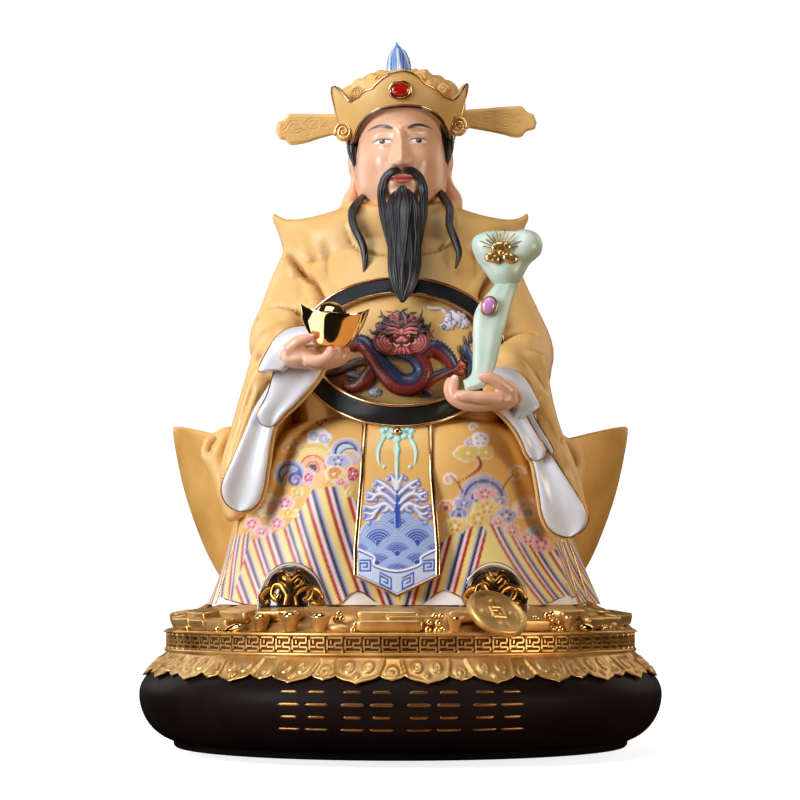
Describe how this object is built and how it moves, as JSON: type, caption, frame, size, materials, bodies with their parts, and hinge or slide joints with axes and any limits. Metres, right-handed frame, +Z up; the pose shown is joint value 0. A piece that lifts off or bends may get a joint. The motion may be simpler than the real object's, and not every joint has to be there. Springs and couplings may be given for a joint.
{
  "type": "seated caishen figure",
  "caption": "Seated porcelain figure of a robed official with a winged hat and long beard, in a great gold ingot on a round plinth, holding an ingot and a ruyi sceptre.",
  "frame": {"origin": "centre of the plinth's underside", "axes": "+Z up; the figure faces -Y, so its own left hand, with the sceptre, is towards +X"},
  "size_m": [0.3406, 0.3406, 0.462],
  "materials": {
    "dark_clay": "matt unglazed brown-black clay",
    "satin_gold": "satin gilding over porcelain",
    "dull_gold": "dull gilding over porcelain",
    "ochre_glaze": "soft matt ochre with painted enamels",
    "mirror_gold": "bright mirror gilding",
    "celadon": "smooth pale green glaze",
    "red_glass": "glossy red enamel",
    "violet_glass": "glossy violet enamel"
  },
  "bodies": {
    "root": {"plinth": "dark_clay", "treasure_bed": "satin_gold", "seat_ingot": "dull_gold", "figure": "ochre_glaze", "hat_wing_right": "ochre_glaze", "hat_wing_left": "ochre_glaze", "hat_jewel": "red_glass", "hand_ingot": "mirror_gold", "ruyi_sceptre": "celadon", "sceptre_jewel": "violet_glass"}
  },
  "joints": []
}
